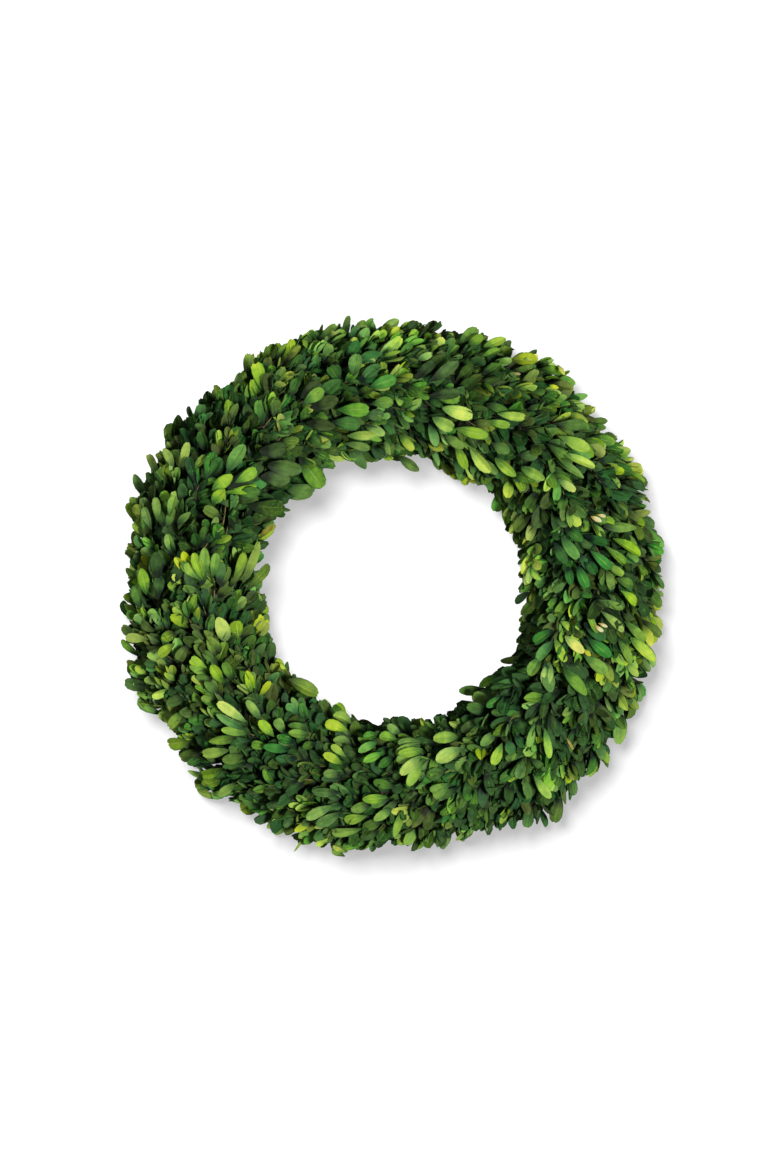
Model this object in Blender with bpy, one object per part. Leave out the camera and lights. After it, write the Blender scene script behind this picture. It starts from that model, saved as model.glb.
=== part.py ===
# Boxwood wreath: leafy bunches, bound one over the next with a single wire round a ring of straw.
# It lies on its back. +Z points out of its front, and the origin is the ring's centre on the
# plane that it lies on. Metres throughout.

from math import atan2, cos, floor, pi, radians, sin, tau
from random import Random

import bmesh
import bpy
from mathutils import Quaternion, Vector
from mathutils.bvhtree import BVHTree

# The wreath as a whole
RING_RADIUS = 0.108  # from the wreath's centre to the middle of the straw
BUNCHES = 20  # the wire goes round once for each bunch
PITCH = tau / BUNCHES  # the angle that one bunch takes
SEED = 12

# Straw ring, with a shallow waist where each turn of the wire pulls it in
STRAW_RADIUS = 0.015
WAIST_RADIUS = 0.0128
STRAW_SIDES = 8
STRAW_STEPS = 3  # steps along the ring for each turn, the first of them at the waist
FIRST_SIDE = radians(-112.5)  # this corner and the next bound the flat underside
STRAW_HEIGHT = STRAW_RADIUS * cos(pi / STRAW_SIDES)  # the straw's middle, above its underside

# Binding wire
WIRE_RADIUS = 0.00045
WIRE_GAP = 0.0003
WIRE_OUT = WAIST_RADIUS + (WIRE_RADIUS + WIRE_GAP) / cos(pi / STRAW_SIDES)

# Stems of a bunch: a saddle on the straw, open underneath, that leans clockwise as it rises
STEMS_GAP = 0.0005
STEMS_CORNERS = 6  # corners from one lower edge, over the front, to the other
STEMS_FIRST = radians(-22.5)  # the outer lower edge
STEMS_SIDE = 0.0240  # how far the stems reach from the middle of the straw at the sides
STEMS_FRONT = 0.0365  # and at the front
STEMS_EDGE = 0.0215  # and at the lower edges
STEMS_ENDS = (0.045, 0.5, 0.955)  # where the sections lie, as shares of the pitch
STEMS_LEAN = 0.8  # how far clockwise a point lies for each metre that it is further out
# The outer side is a little uneven, as a wreath bound by hand is. Each entry is a wave: how often it
# goes round, its height, and the angle of its crest.
WAVES = (
    (2, 0.0016, radians(7)),
    (3, 0.0007, radians(-25)),
    (4, 0.0010, radians(-41)),
)

# Leaves, larger than life, in columns round the straw
COLUMNS = 11
COLUMN_FIRST = radians(-11)
COLUMN_LAST = radians(191)
ROWS = 2
STAGGER = 0.25  # every other column starts this share of the pitch further on
FIRST_ROW = 0.11
LEAF_SUNK = 0.004
LEAF_BEND = 0.0135  # from the stems' surface to the widest place, where the leaf bends over
LEAF_TOP = 0.0085  # from there to the tip
ROOT_HALF = 0.0018
WIDEST_HALF = 0.0068
TIP_HALF = 0.0042
OUTER_SIZE = 0.16  # leaves on the outer side are larger by this share, and in the hole smaller
LEAF_THICKNESS = 0.0008
LEAF_RISE = radians(50)  # the leaf's slope from the surface, up to its bend
LEAF_OVER = radians(26)  # how far it bends over there
SIDE_ROLL = radians(48)  # leaves on the sides turn their faces this far to the front
LOOSENESS = {"size": 0.14, "rise": 8, "turn": 26, "roll": 24, "column": 3.5, "row": 0.02}
TRIES = 40
LEAF_CLEAR = 0.0002  # the least space to the leaves round it
LEAF_FLOOR = 0.001  # the least height over the plane that the wreath lies on


# Places on the wreath

def place(turn, around, out):
    # TURN bunches along the helix, at the angle AROUND the straw, OUT metres from its middle.
    # AROUND is 0 on the outer side, a quarter turn at the front and half a turn in the hole.
    along = PITCH * (turn + around / tau)
    reach = RING_RADIUS + out * cos(around)
    return Vector((reach * cos(along), reach * sin(along), STRAW_HEIGHT + out * sin(around)))


def stems_corner(corner):
    # The angle and reach of one of the stems' outer corners, furthest out at the front
    around = STEMS_FIRST + tau * corner / STRAW_SIDES
    if sin(around) < 0:
        return around, STEMS_EDGE
    return around, STEMS_SIDE + (STEMS_FRONT - STEMS_SIDE) * sin(around) ** 2


def unevenness(along):
    # How much further than usual the outer side reaches, at an angle seen from the front
    return sum(height * cos(count * (along - crest)) for count, height, crest in WAVES)


def stems_place(turn, corner):
    # The outer corner, moved clockwise by as much as the stems lean on their way out to it
    around, out = stems_corner(corner)
    out += unevenness(PITCH * turn) * max(0.0, cos(around))
    lean = STEMS_LEAN * (out - STRAW_RADIUS) / (RING_RADIUS * PITCH)
    return place(turn - lean, around, out)


def stems_surface(turn, around):
    # A point on the stems, on the straight line between the two corners beside it
    corner = (around - STEMS_FIRST) * STRAW_SIDES / tau
    before = floor(corner)
    return stems_place(turn, before).lerp(stems_place(turn, before + 1), corner - before)


# Meshes and materials

def material(name, colour, roughness, metallic=0.0):
    made = bpy.data.materials.new(name)
    made.use_nodes = True
    shader = made.node_tree.nodes["Principled BSDF"]
    shader.inputs["Base Color"].default_value = (*colour, 1.0)
    shader.inputs["Roughness"].default_value = roughness
    shader.inputs["Metallic"].default_value = metallic
    return made


def mesh_object(name, corners, faces, finish, flat_faces=False):
    # A mesh with its faces turned outwards, split into triangles unless every face is flat
    form = bmesh.new()
    made = [form.verts.new(corner) for corner in corners]
    for face in faces:
        form.faces.new([made[index] for index in face])
    if not flat_faces:
        bmesh.ops.triangulate(form, faces=form.faces[:])
    bmesh.ops.recalc_face_normals(form, faces=form.faces[:])
    mesh = bpy.data.meshes.new(name)
    form.to_mesh(mesh)
    form.free()
    mesh.materials.append(finish)
    thing = bpy.data.objects.new(name, mesh)
    bpy.context.scene.collection.objects.link(thing)
    return thing


# Straw ring

def straw_form():
    # Rings of corners follow the helix, so that going once round the straw is one pitch along it
    steps = BUNCHES * STRAW_STEPS
    corners = []
    for step in range(steps):
        out = WAIST_RADIUS if step % STRAW_STEPS == 0 else STRAW_RADIUS
        for side in range(STRAW_SIDES):
            around = FIRST_SIDE + tau * side / STRAW_SIDES
            corners.append(place(step / STRAW_STEPS, around, out))

    def corner(step, side):
        step += STRAW_STEPS * (side // STRAW_SIDES)
        return step % steps * STRAW_SIDES + side % STRAW_SIDES

    faces = []
    for step in range(steps):
        for side in range(STRAW_SIDES):
            lower = (corner(step, side), corner(step + 1, side))
            upper = (corner(step + 1, side + 1), corner(step, side + 1))
            faces.append(lower + upper)
    return corners, faces


def straw_ring(finish):
    ring = mesh_object("straw_ring", *straw_form(), finish)
    ring.data.shade_smooth()
    ring.data.set_sharp_from_angle(angle=radians(50))
    return ring


# Binding wire

def binding_wire(finish):
    # One closed helix that lies in the straw's waist all the way round
    curve = bpy.data.curves.new("binding_wire", "CURVE")
    curve.dimensions = "3D"
    curve.bevel_depth = WIRE_RADIUS
    curve.bevel_resolution = 0
    spline = curve.splines.new("POLY")
    spline.points.add(BUNCHES * STRAW_SIDES - 1)
    for index, point in enumerate(spline.points):
        around = FIRST_SIDE + tau * index / STRAW_SIDES
        spot = place(0, around, WIRE_OUT)
        point.co = (*spot, 1.0)
    spline.use_cyclic_u = True
    curve.materials.append(finish)
    wire = bpy.data.objects.new("binding_wire", curve)
    bpy.context.scene.collection.objects.link(wire)
    return wire


# Bunches

def stems_form(bunch):
    # Each section runs along the straw from one lower edge to the other, and back over the outside
    corners = []
    for share in STEMS_ENDS:
        for corner in range(STEMS_CORNERS):
            around = STEMS_FIRST + tau * corner / STRAW_SIDES
            corners.append(place(bunch + share, around, STRAW_RADIUS + STEMS_GAP))
        for corner in reversed(range(STEMS_CORNERS)):
            corners.append(stems_place(bunch + share, corner))
    loop = 2 * STEMS_CORNERS
    last = loop * (len(STEMS_ENDS) - 1)
    faces = []
    for start in range(0, last, loop):
        for corner in range(loop):
            after = (corner + 1) % loop
            near = (start + corner, start + after)
            far = (start + loop + after, start + loop + corner)
            faces.append(near + far)
    for start in (0, last):
        for corner in range(STEMS_CORNERS - 1):
            inside = (start + corner, start + corner + 1)
            outside = (start + loop - 2 - corner, start + loop - 1 - corner)
            faces.append(inside + outside)
    return corners, faces


def leaf_corners(turn, around, draw, swell=0.0):
    # A flat blade with one bend: it widens from its root up to the bend, and narrows to a blunt
    # tip. SWELL makes it larger all round, to test the space that it needs.
    around += radians(draw["column"])
    root = stems_surface(turn + draw["row"], around)
    along = atan2(root.y, root.x)
    radial = Vector((cos(along), sin(along), 0.0))
    clockwise = Vector((sin(along), -cos(along), 0.0))
    front = Vector((0.0, 0.0, 1.0))
    normal = radial * cos(around) + front * sin(around)
    across = front * cos(around) - radial * sin(around)

    turned = Quaternion(normal, radians(draw["turn"]))
    rise = LEAF_RISE + radians(draw["rise"])
    low = turned @ (clockwise * cos(rise) + normal * sin(rise))
    roll = SIDE_ROLL * cos(around) + radians(draw["roll"])
    width = Quaternion(low, roll) @ (turned @ across)
    high = Quaternion(width, -LEAF_OVER) @ low
    thick = width.cross(low + high).normalized() * (LEAF_THICKNESS / 2 + swell)

    size = 1 + draw["size"] + OUTER_SIZE * cos(around)
    bend = root + low * (LEAF_BEND * size)
    stations = (
        (root - low * LEAF_SUNK, ROOT_HALF),
        (bend, WIDEST_HALF * size),
        (bend + high * (LEAF_TOP * size + swell), TIP_HALF * size),
    )
    corners = []
    for side in (thick, -thick):
        for spot, half in stations:
            corners.append(spot + side + width * (half + swell))
            corners.append(spot + side - width * (half + swell))
    return corners


def leaf_faces():
    # Two stretches of the face, the same of the back in reverse, and the rim between them
    outline = (0, 2, 4, 5, 3, 1)
    back = len(outline)
    faces = [(0, 2, 3, 1), (2, 4, 5, 3)]
    faces += [tuple(back + index for index in reversed(face)) for face in faces]
    for here, there in zip(outline, outline[1:] + outline[:1]):
        faces.append((here, back + here, back + there, there))
    return faces


def leaf_places():
    # Each bunch's roots, as places along the helix and angles round the straw
    places = []
    for bunch in range(BUNCHES):
        for column in range(COLUMNS):
            share = column / (COLUMNS - 1)
            around = COLUMN_FIRST + (COLUMN_LAST - COLUMN_FIRST) * share
            for row in range(ROWS):
                turn = bunch + FIRST_ROW + STAGGER * (column % 2) + row / ROWS
                places.append((bunch, turn, around))
    return places


def grow_leaves():
    # The leaves are placed one by one. One that would cross a leaf near it, the straw or another
    # bunch's stems, or reach down to the plane that the wreath lies on, is drawn again.
    chance = Random(SEED)
    faces = leaf_faces()
    straw_tree = BVHTree.FromPolygons(*straw_form())
    stems = [BVHTree.FromPolygons(*stems_form(bunch)) for bunch in range(BUNCHES)]
    grown = [[] for bunch in range(BUNCHES)]
    trees = [[] for bunch in range(BUNCHES)]
    for bunch, turn, around in leaf_places():
        others = [(bunch + step) % BUNCHES for step in (-2, -1, 1, 2)]
        near = [straw_tree] + trees[bunch] + [stems[side] for side in others]
        for side in others:
            near += trees[side]
        for attempt in range(TRIES):
            draw = {key: chance.uniform(-most, most) for key, most in LOOSENESS.items()}
            leaf = leaf_corners(turn, around, draw)
            tree = BVHTree.FromPolygons(leaf_corners(turn, around, draw, LEAF_CLEAR), faces)
            low = min(corner.z for corner in leaf) < LEAF_FLOOR
            if not low and not any(tree.overlap(other) for other in near):
                grown[bunch].append(leaf)
                trees[bunch].append(tree)
                break
    return grown


def bunch_object(bunch, leaves, finish):
    # The leaves are joined to their stems by one Boolean union, which is then applied
    name = f"boxwood_bunch_{bunch + 1:02d}"
    body = mesh_object(name, *stems_form(bunch), finish)
    blades = bpy.data.collections.new("leaves of " + name)
    for number, corners in enumerate(leaves):
        blade = mesh_object(f"leaf {number}", corners, leaf_faces(), finish, flat_faces=True)
        bpy.context.scene.collection.objects.unlink(blade)
        blades.objects.link(blade)
    union = body.modifiers.new("leaves", "BOOLEAN")
    union.operation = "UNION"
    union.solver = "EXACT"
    union.operand_type = "COLLECTION"
    union.collection = blades
    with bpy.context.temp_override(object=body, active_object=body):
        bpy.ops.object.modifier_apply(modifier=union.name)
    for blade in list(blades.objects):
        bpy.data.objects.remove(blade)
    bpy.data.collections.remove(blades)
    return body


for old in list(bpy.data.objects):
    bpy.data.objects.remove(old)

straw = material("straw", (0.55, 0.40, 0.19), 0.85)
wire = material("green wire", (0.03, 0.07, 0.03), 0.45, 0.6)
boxwood = material("boxwood", (0.05, 0.14, 0.03), 0.45)

straw_ring(straw)
binding_wire(wire)
for number, leaves in enumerate(grow_leaves()):
    bunch_object(number, leaves, boxwood)
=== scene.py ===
# The boxwood wreath's looks: leaves, twigs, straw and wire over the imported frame.
# Metres, +Z out of the front. The wreath lies on its back.

import bpy
import numpy as np
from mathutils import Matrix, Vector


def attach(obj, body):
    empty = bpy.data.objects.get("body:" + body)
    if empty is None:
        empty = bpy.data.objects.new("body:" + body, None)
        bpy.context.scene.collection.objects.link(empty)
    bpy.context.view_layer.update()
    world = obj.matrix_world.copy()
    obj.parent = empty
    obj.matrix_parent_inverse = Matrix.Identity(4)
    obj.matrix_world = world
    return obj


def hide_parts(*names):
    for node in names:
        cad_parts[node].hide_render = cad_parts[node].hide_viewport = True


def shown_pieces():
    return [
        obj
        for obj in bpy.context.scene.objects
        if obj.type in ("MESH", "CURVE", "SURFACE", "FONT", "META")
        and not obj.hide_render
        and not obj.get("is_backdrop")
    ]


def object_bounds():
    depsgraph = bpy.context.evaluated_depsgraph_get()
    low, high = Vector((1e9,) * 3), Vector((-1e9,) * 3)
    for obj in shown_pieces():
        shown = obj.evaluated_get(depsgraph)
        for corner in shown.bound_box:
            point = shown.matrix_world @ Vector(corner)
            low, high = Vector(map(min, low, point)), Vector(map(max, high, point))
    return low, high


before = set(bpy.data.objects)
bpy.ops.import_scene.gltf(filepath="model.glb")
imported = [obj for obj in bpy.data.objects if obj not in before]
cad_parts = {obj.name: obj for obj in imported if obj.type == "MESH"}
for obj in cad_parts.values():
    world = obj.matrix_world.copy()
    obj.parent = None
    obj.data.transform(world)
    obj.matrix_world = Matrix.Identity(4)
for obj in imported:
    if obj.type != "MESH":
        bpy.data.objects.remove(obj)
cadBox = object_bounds()
print("frame loaded:", len(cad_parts), "nodes")

wreath = {
    "ringRadius": 0.108,  # to the middle of the straw
    "strawHeight": 0.013858,  # the straw's middle over the floor
    "strawRadius": 0.015,
    "bunches": 20,
    "waves": ((2, 0.0016, 7), (3, 0.0007, -25), (4, 0.0010, -41)),  # times round, height, crest in degrees
    "seed": 12,
}
tau = 2 * np.pi
pitch = tau / wreath["bunches"]
front = np.array((0.0, 0.0, 1.0))


# Places and directions on the wreath

def placeOn(turn, around, out):
    # turn bunches along the ring, at an angle around the straw, out metres from its middle:
    # 0 is the outer side, a quarter turn the front. One turn round the straw is one bunch along.
    along = pitch * (turn + around / tau)
    reach = wreath["ringRadius"] + out * np.cos(around)
    height = wreath["strawHeight"] + out * np.sin(around)
    return np.stack((reach * np.cos(along), reach * np.sin(along), height), axis=-1)


def directionsAt(turn, around):
    # Clockwise along the ring, and straight out from the straw's middle
    along = pitch * (turn + around / tau)
    clockwise = np.stack((np.sin(along), -np.cos(along), 0 * along), axis=-1)
    radial = np.stack((np.cos(along), np.sin(along), 0 * along), axis=-1)
    return clockwise, radial * np.cos(around)[..., None] + front * np.sin(around)[..., None]


def aroundStraw(points):
    # Where points are: the angle along the ring, the angle around the straw, the distance from its middle
    outward = np.hypot(points[..., 0], points[..., 1]) - wreath["ringRadius"]
    upward = points[..., 2] - wreath["strawHeight"]
    return np.arctan2(points[..., 1], points[..., 0]), np.arctan2(upward, outward), np.hypot(outward, upward)


def unevenness(along, around):
    # How much further than usual the outer side reaches: a few cosine waves, times the cosine around
    waves = (height * np.cos(count * (along - np.radians(crest))) for count, height, crest in wreath["waves"])
    return sum(waves) * np.maximum(np.cos(around), 0)


def dot(first, second):
    return np.sum(first * second, axis=-1)


def unit(vectors):
    return vectors / np.linalg.norm(vectors, axis=-1, keepdims=True)


def squareTo(heading, facing):
    # The facing without its part along the heading, at unit length
    return unit(facing - heading * dot(facing, heading)[..., None])


def turned(vectors, axis, angle):
    # Each vector turned about a unit axis: v cos + (axis x v) sin + axis (axis . v)(1 - cos)
    c, s = np.cos(angle)[..., None], np.sin(angle)[..., None]
    return vectors * c + np.cross(axis, vectors) * s + axis * dot(axis, vectors)[..., None] * (1 - c)


def scattered(chance, degrees, count):
    return np.radians(chance.uniform(-1, 1, count) * degrees)


# Meshes from arrays

def quads(*corners):
    return np.stack(corners, axis=-1).reshape(-1, 4)


def cellMap(row, column, rows, columns):
    # The four corners of each cell on a map that the rows and columns fill
    low = np.stack((column / columns, row / rows), axis=-1).reshape(-1, 1, 2)
    return low + np.array(((0, 0), (1, 0), (1, 1), (0, 1))) / (columns, rows)


def together(lots):
    return {key: np.concatenate([lot[key] for lot in lots]) for key in lots[0]}


def joined(parts):
    # Parts have points, faces with four corners, uv for each corner, the number of the material,
    # and one tone, warmth (emerald below 0, olive above) and chance for each point
    start, lots = 0, []
    for part in parts:
        lots.append({"points": part["points"], "uv": part["uv"], "faces": part["faces"] + start,
                     "material": np.broadcast_to(part["material"], len(part["faces"]))})
        for key in ("tone", "warmth", "chance"):
            lots[-1][key] = np.broadcast_to(part.get(key, 0.0), len(part["points"]))
        start += len(part["points"])
    return together(lots)


def addObject(name, data):
    thing = bpy.data.objects.new(name, data)
    bpy.context.scene.collection.objects.link(thing)
    return thing


def pieceFrom(name, parts, materials, nodes, sharpAngle=50):
    data = joined(parts)
    mesh, corners = bpy.data.meshes.new(name), data["faces"].astype(np.int32).ravel()
    mesh.vertices.add(len(data["points"]))
    mesh.vertices.foreach_set("co", data["points"].astype(np.float32).ravel())
    mesh.loops.add(len(corners))
    mesh.loops.foreach_set("vertex_index", corners)
    mesh.polygons.add(len(data["faces"]))
    mesh.polygons.foreach_set("loop_start", np.arange(0, len(corners), 4, dtype=np.int32))
    mesh.polygons.foreach_set("material_index", data["material"].astype(np.int32))
    mesh.polygons.foreach_set("use_smooth", np.ones(len(data["faces"]), bool))
    mesh.uv_layers.new(name="UVMap").data.foreach_set("uv", data["uv"].astype(np.float32).ravel())
    for key in ("tone", "warmth", "chance"):
        mesh.attributes.new(key, "FLOAT", "POINT").data.foreach_set("value", data[key].astype(np.float32))
    for material in materials:
        mesh.materials.append(material)
    mesh.update(calc_edges=True)
    mesh.validate()
    mesh.set_sharp_from_angle(angle=np.radians(sharpAngle))
    piece = addObject(name, mesh)
    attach(piece, "root")
    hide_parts(*nodes)


def tubes(paths, radii, sideways, upwards, flat=1.0):
    # Closed six-sided rods: at each station of a path a ring of corners, sideways cos + upwards sin
    # times the radius, with a cap of quads at both ends. flat squeezes the upward half-width.
    # sideways x upwards points along the path, so that the faces look outwards.
    sides, (rods, stations) = 6, paths.shape[:2]
    angle = tau * np.arange(sides) / sides
    ring = np.cos(angle)[:, None] * sideways[:, :, None] + flat * np.sin(angle)[:, None] * upwards[:, :, None]
    points = paths[:, :, None] + ring * radii[:, :, None, None]
    station, side = np.indices((stations - 1, sides))
    corner, after = station * sides + side, station * sides + (side + 1) % sides
    low = np.array(((0, 5, 4, 1), (1, 4, 3, 2)))
    high = low[:, ::-1] + (stations - 1) * sides
    faces = np.concatenate((quads(corner, after, after + sides, corner + sides), low, high))
    uv = np.concatenate((cellMap(station, side, stations - 1, sides), np.full((4, 4, 2), 0.01)))
    return {
        "points": points.reshape(-1, 3),
        "faces": (faces + stations * sides * np.arange(rods)[:, None, None]).reshape(-1, 4),
        "uv": np.tile(uv, (rods, 1, 1)),
    }


# Sprigs: twigs that lean clockwise as they rise, with leaves in opposite pairs

stems = {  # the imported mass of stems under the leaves, as the frame has it
    "side": 0.0240,  # its reach from the middle of the straw at the sides
    "front": 0.0365,
    "edge": 0.0215,  # at the lower edges
    "lean": 0.8,  # metres clockwise for each metre outwards
    "around": (-22.5, 202.5),  # degrees from one lower edge to the other
    "sunk": 0.0015,  # the scene's own mass lies this far inside that reach
    "ripples": ((0.0006, 9, 5), (0.0005, 4, 3 * tau)),  # height, waves around and along a bunch, in radians
    "rods": 14,  # bare stems on it
    "rodSunk": 0.0012,
    "rodWave": 0.0010,
    "rodRadius": (0.0005, 0.0009),
    "rodStart": (-0.25, 0.15),  # share of a bunch
    "rodLength": 0.9,
    "rodWander": 0.4,  # radians around the straw
}

foliage = {
    "columns": (-13, -1, 14, 31, 49, 68, 87, 106, 126, 147, 168, 187),  # degrees around the straw
    "rows": (3, 3, 3, 3, 3, 3, 3, 3, 2, 2, 2, 2),
    "scatterAround": 7.0,  # degrees
    "scatterAlong": 0.42,  # share of the space between two rows
    "outerReach": 0.0450,  # how far the leaves reach from the middle of the straw
    "frontReach": 0.0503,
    "innerReach": 0.0380,
    "shortBy": 0.0065,  # a sprig ends up to this far inside that reach
    "boxMargin": 0.0008,  # and its tips stay this far inside the frame's box
    "rootDepth": 0.001,  # under the stems' surface
    "sprigSize": (0.80, 1.14),
    "bunchSize": (0.06, 0.9, 1.1),  # scatter, least and most
    "twigLength": (0.017, 0.025),
    "twigRadius": 0.00055,
    "twigTaper": 0.65,
    "twigFloor": 0.0008,  # the least height over the floor
    "riseRoot": 50,  # degrees from the surface, at the root
    "riseTip": (13, 38),  # and at the tip, at the front and at the sides
    "riseScatter": 8,
    "yawScatter": 23,
    "layerThickness": (0.35, 0.75),  # how far leaves turn up and down from the twig, against aside, there
    "leafStations": (0.34, 0.58, 0.80, 1.0),  # places of the pairs along the twig
    "stationScatter": (-0.03, 0.03),
    "leafSpread": (50, 20),  # degrees from the twig, for the lowest leaves and the tip's
    "spreadScatter": 0.21,  # radians
    "turnScatter": 0.45,  # radians round the twig
    "leafFacing": (0.55, 0.40, 0.50),  # shares of up from the twig, the front and away from the twig
    "facingScatter": 0.36,
    "leafLength": (0.0134, 0.0188),
    "leafShrink": (1.08, 0.28),  # size at the twig's root, less by this towards its tip
    "leafWidth": (0.33, 0.46),  # share of its length
    "patchAhead": 0.015,  # a sprig takes the patches' tone this far ahead of its root
    "tone": (0.478, 0.170),  # mean and scatter from sprig to sprig, 0 dark to 1 light
    "leafTone": 0.15,  # scatter from leaf to leaf
    "tipTone": (0.34, 0.72),  # lighter by this for each share of the twig past that one
    "warmth": (0.06, 0.42),  # emerald below 0, olive above, dried past 1
    "leafWarmth": 0.24,
    "paintedShadeDepth": (0.0020, 0.0125),  # painted shade: leaves this deep under the surface start to be darker, and are darkest
    "paintedShadeBy": 0.46,
    "darkest": 0.135,
    "lightest": 0.84,
}

colourAndPaintedLightPatches = (  # groups that stand out, partly the leaves' own colour and partly painted light and painted shade, such as the darker inner rim at the bottom: middle and spread in millimetres, lighter by, more olive by
    (-92, 92, 17, -0.2, 0), (-105, 12, 12, 0.14, 0.1), (-104, -46, 13, 0.2, 0.2),
    (-126, -32, 10, 0.05, 0.5), (-86, -68, 10, 0.16, 0.1), (-2, 114, 22, 0.38, -0.55),
    (36, 64, 9, 0.3, 0), (70, 40, 14, 0.16, 0), (-58, 98, 16, 0.18, 0), (-25, 125, 14, 0, -0.35),
    (46, 84, 20, 0.14, 0.15), (100, 74, 15, 0.2, 0.1), (132, -20, 17, 0.2, 0.25),
    (80, 122, 13, 0.05, 0.6), (14, 124, 16, -0.03, 0.2), (0, 140, 18, 0.22, 0), (-68, 112, 18, 0.09, 0),
    (-124, 70, 15, 0.24, 0.1), (-142, 2, 16, 0.24, 0), (-124, -74, 15, 0.2, 0.2),
    (-74, -48, 11, 0.15, 0), (88, -2, 15, 0.62, 0), (118, -4, 12, -0.28, 0), (100, -60, 17, -0.32, 0),
    (-8, -112, 20, -0.3, 0), (-10, -74, 16, -0.52, 0), (47, -83, 11, 0.3, 0), (54, 90, 10, -0.16, 0),
    (-88, 0, 12, 0.26, 0), (-36, -64, 9, 0.12, 0), (106, 60, 12, 0.14, 0.1), (70, -48, 18, -0.24, 0),
    (38, -70, 18, -0.28, 0), (4, -74, 16, -0.38, 0), (60, -107, 19, -0.5, 0), (112, 12, 14, 0, -0.4),
    (-47, -82, 15, -0.3, 0), (-64, -116, 16, -0.14, 0), (0, -131, 13, -0.34, 0), (0, -147, 12, 0.5, 0),
    (132, 62, 14, 0.1, 0), (-66, 54, 12, -0.2, 0), (96, -56, 14, -0.28, 0), (52, 86, 9, -0.14, 0),
)

rimBumps = (  # where the rims stand out: degrees, spread, millimetres at the outer and the inner rim
    (6, 6, 1.4, 5), (15, 4, -1.6, -3), (22, 5, 3.4, 2.4), (42, 7, -2, -3.6), (53, 6, 4, 0.6),
    (74, 5, -3.2, 4.6), (82, 4, 4, 0), (95, 6, 0.6, 4.6), (114, 7, 3.6, -9), (131, 5, -3.8, 4),
    (142, 4, 2.2, -0.8), (159, 5, 6, -2.6), (172, 7, -3.2, -4.5), (186, 7, -0.4, 3), (201, 4, 3.8, -1),
    (213, 5, -9, 0.6), (224, 5, 2.2, -0.8), (236, 5, -4.2, 0), (249, 4, 3.4, -0.6), (256, 5, 0, -5.4),
    (270, 8, -4.8, 0.6), (289, 7, -4.6, -4.6), (303, 4, 6, 3), (318, 5, 2.2, 1.6), (332, 7, -1.6, -5),
    (345, 7, -2.4, 0), (353, 4, -0.4, -6),
)


def bumpsOf(along, around):
    # The sum of the bumps, each its height times exp of -(angle / spread) squared, by how far a place
    # around the straw faces its rim
    degrees, spread, outer, inner = np.array(rimBumps, float).T
    apart = (np.degrees(along)[..., None] - degrees + 180) % 360 - 180
    weight, facing = np.exp(-(apart / spread) ** 2), np.cos(around)
    return 0.001 * (weight @ outer * np.maximum(facing, 0) + weight @ inner * np.maximum(-facing, 0))


def patchwork(points):
    # What the patches add to tone and warmth, painted light and shade among it: each one's amount times exp of
    # -(distance / spread) squared
    x, y, spread, lighter, warmer = np.array(list(zip(*colourAndPaintedLightPatches)), float)
    apart = points[..., None, :2] - 0.001 * np.stack((x, y), axis=-1)
    weight = np.exp(-np.sum(apart ** 2, axis=-1) / (0.001 * spread) ** 2)
    return weight @ lighter, weight @ warmer


def stemsReach(around):
    # From the side's to the front's by the square of the sine, and less towards the lower edges
    sine = np.maximum(np.sin(around), 0)
    reach = stems["side"] + (stems["front"] - stems["side"]) * sine ** 2
    below = np.clip(np.sin(around) / np.sin(np.radians(stems["around"][0])), 0, 1)
    return reach + (stems["edge"] - stems["side"]) * below


def leanAt(reach):
    # How many bunches further clockwise a stem is at that distance from the straw's middle
    return stems["lean"] * (reach - wreath["strawRadius"]) / (wreath["ringRadius"] * pitch)


def foliageReach(along, around):
    # The leaves' reach: between the outer and the inner side's by the cosine, then to the front's by
    # the square of the sine, plus the unevenness of the outer side and the rims' bumps
    outward, sine = 0.5 + 0.5 * np.cos(around), np.maximum(np.sin(around), 0)
    side = foliage["innerReach"] + (foliage["outerReach"] - foliage["innerReach"]) * outward
    return side + (foliage["frontReach"] - side) * sine ** 2 + unevenness(along, around) + bumpsOf(along, around)


def growSprigs(chance, bunch):
    # Twigs in rows and columns over the bunch, each root and direction moved a little at random
    turns, arounds = [], []
    for column, (degrees, rows) in enumerate(zip(foliage["columns"], foliage["rows"])):
        row = (np.arange(rows) + 0.5 * (column % 2)) / rows
        turns.append(bunch + row + chance.uniform(-1, 1, rows) * foliage["scatterAlong"] / rows)
        arounds.append(degrees + chance.uniform(-1, 1, rows) * foliage["scatterAround"])
    turn, around = np.concatenate(turns), np.radians(np.concatenate(arounds))
    count, reach = len(turn), stemsReach(around)
    turn = turn - leanAt(reach)
    clockwise, normal = directionsAt(turn, around)
    root = placeOn(turn, around, reach - foliage["rootDepth"])
    level = turned(clockwise, normal, scattered(chance, foliage["yawScatter"], count))
    scatter = scattered(chance, foliage["riseScatter"], (2, count))
    atFront, atSides = foliage["riseTip"]
    riseTip = np.radians(atFront + (atSides - atFront) * np.abs(np.cos(around)) ** 1.5)
    bunchScatter, least, most = foliage["bunchSize"]
    size = chance.uniform(*foliage["sprigSize"], count) * np.clip(chance.normal(1.0, bunchScatter), least, most)
    lighter, warmer = patchwork(root + foliage["patchAhead"] * level)
    return {
        "root": root, "level": level, "normal": normal, "side": np.cross(level, normal), "around": around,
        "riseRoot": np.radians(foliage["riseRoot"]) + scatter[0], "riseTip": riseTip + scatter[1],
        "size": size, "length": chance.uniform(*foliage["twigLength"], count) * size,
        "tone": np.clip(chance.normal(*foliage["tone"], count) + lighter, 0.0, 0.98),
        "warmth": chance.normal(*foliage["warmth"], count) + warmer,
    }


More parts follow.
